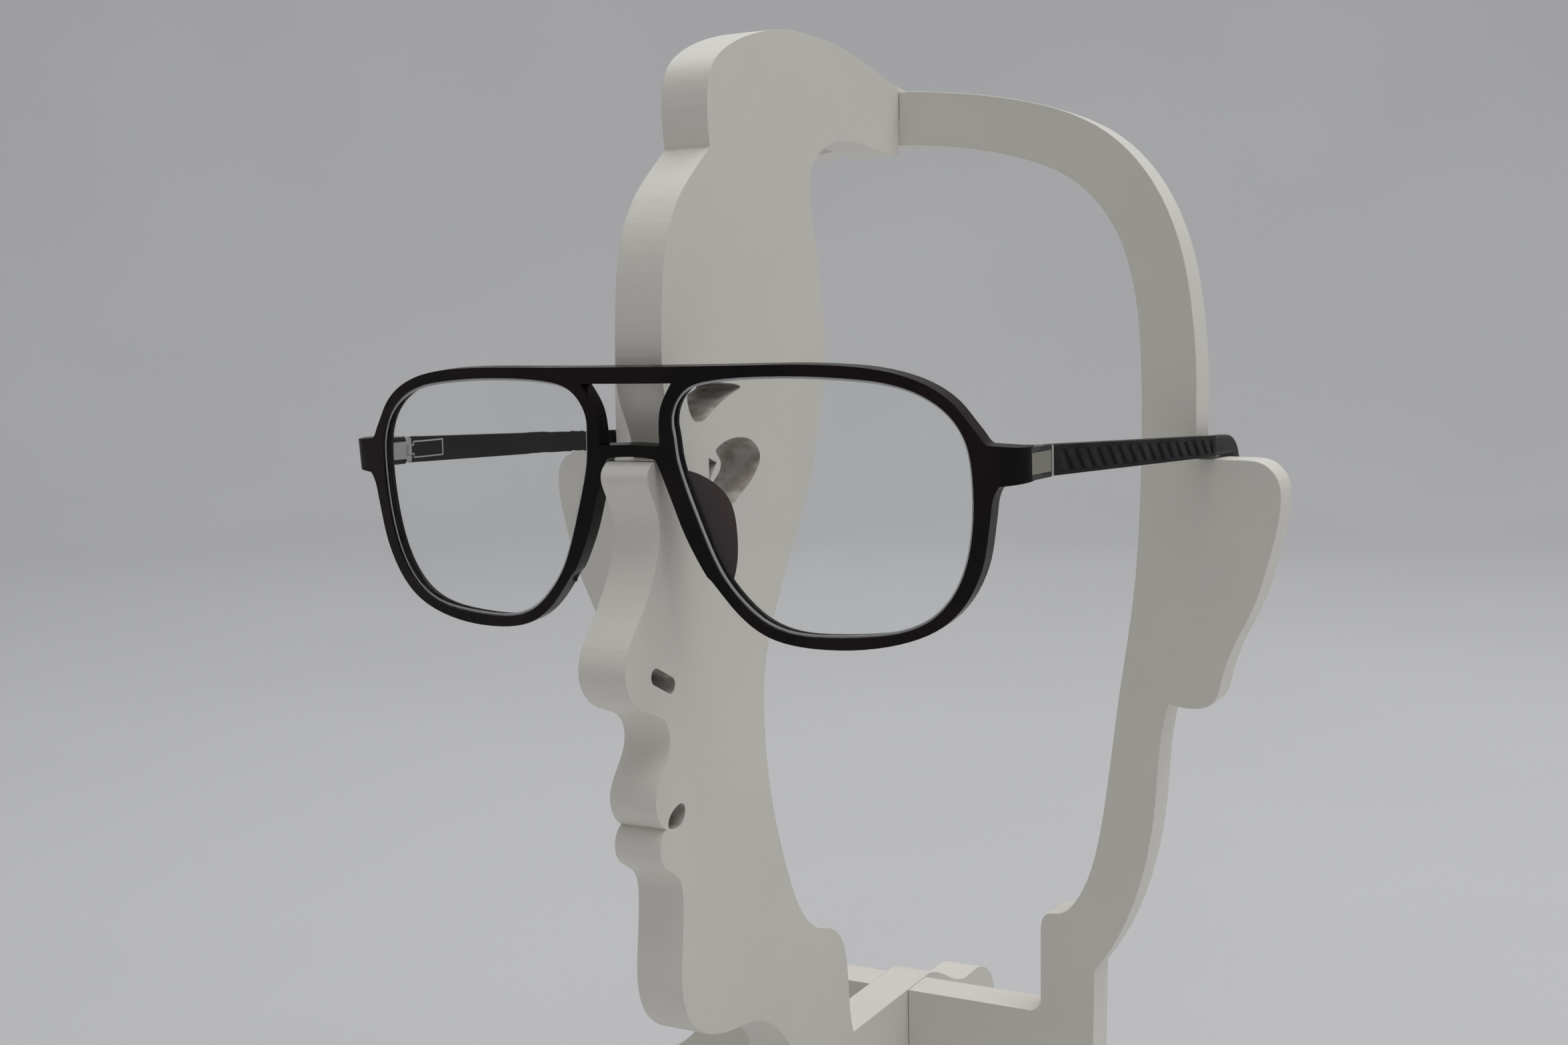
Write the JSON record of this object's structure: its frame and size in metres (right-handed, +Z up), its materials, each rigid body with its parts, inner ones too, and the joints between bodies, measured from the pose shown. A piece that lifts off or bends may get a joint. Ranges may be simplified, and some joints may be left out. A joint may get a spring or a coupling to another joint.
{
  "type": "eyeglasses display stand",
  "caption": "Cut-out head display stand made of two cross-lapped painted boards, a face profile and a head-outline ring with ears, wearing a pair of double-bridge eyeglasses.",
  "frame": {"origin": "on the table, in the head's plane of symmetry and in the middle plane of the ring board", "axes": "+X is the head's left, the face looks towards -Y, +Z is up"},
  "size_m": [0.1844, 0.1963, 0.29],
  "materials": {
    "painted_board": "semi-matte warm white paint on board, slightly softened edges",
    "front_acetate": "near-black plum, slightly translucent where thin, semi-gloss",
    "clear_lens": "clear display lens with a thin anti-glare coat",
    "satin_metal": "fine satin",
    "hinge_metal": "satin nickel",
    "temple_black": "satin black",
    "ribbed_inlay": "diagonally ribbed, satin black",
    "tip_grey": "satin dark grey"
  },
  "bodies": {
    "stand": {"profile_board": "painted_board", "ring_board": "painted_board"},
    "glasses_front": {"front_frame": "front_acetate", "lens_left": "clear_lens", "lens_right": "clear_lens", "nose_pad_left": "front_acetate", "nose_pad_right": "front_acetate", "side_plate_left": "satin_metal", "side_plate_right": "satin_metal", "front_hinge_left": "hinge_metal", "front_hinge_right": "hinge_metal", "hinge_screw_left": "hinge_metal", "hinge_screw_right": "hinge_metal"},
    "left_temple": {"temple_arm_left": "temple_black", "temple_collar_left": "satin_metal", "temple_hinge_left": "hinge_metal", "temple_inlay_left": "ribbed_inlay", "temple_tip_left": "tip_grey"},
    "right_temple": {"temple_arm_right": "temple_black", "temple_collar_right": "satin_metal", "temple_hinge_right": "hinge_metal", "temple_inlay_right": "ribbed_inlay", "temple_tip_right": "tip_grey"}
  },
  "joints": [
    {"name": "glasses_lift", "type": "slide", "parent": "stand", "child": "glasses_front", "axis": [0, 0, 1], "range_m": [0, 0.12]},
    {"name": "left_temple_flex", "type": "hinge", "parent": "glasses_front", "child": "left_temple", "pos_m": [0.0699, -0.0912, 0.206], "axis": [0, 0, -1], "range_deg": [0, 6], "stiffness_Nm_per_rad": 0.5},
    {"name": "right_temple_flex", "type": "hinge", "parent": "glasses_front", "child": "right_temple", "pos_m": [-0.0699, -0.0912, 0.206], "axis": [0, 0, 1], "range_deg": [0, 6], "stiffness_Nm_per_rad": 0.5}
  ]
}
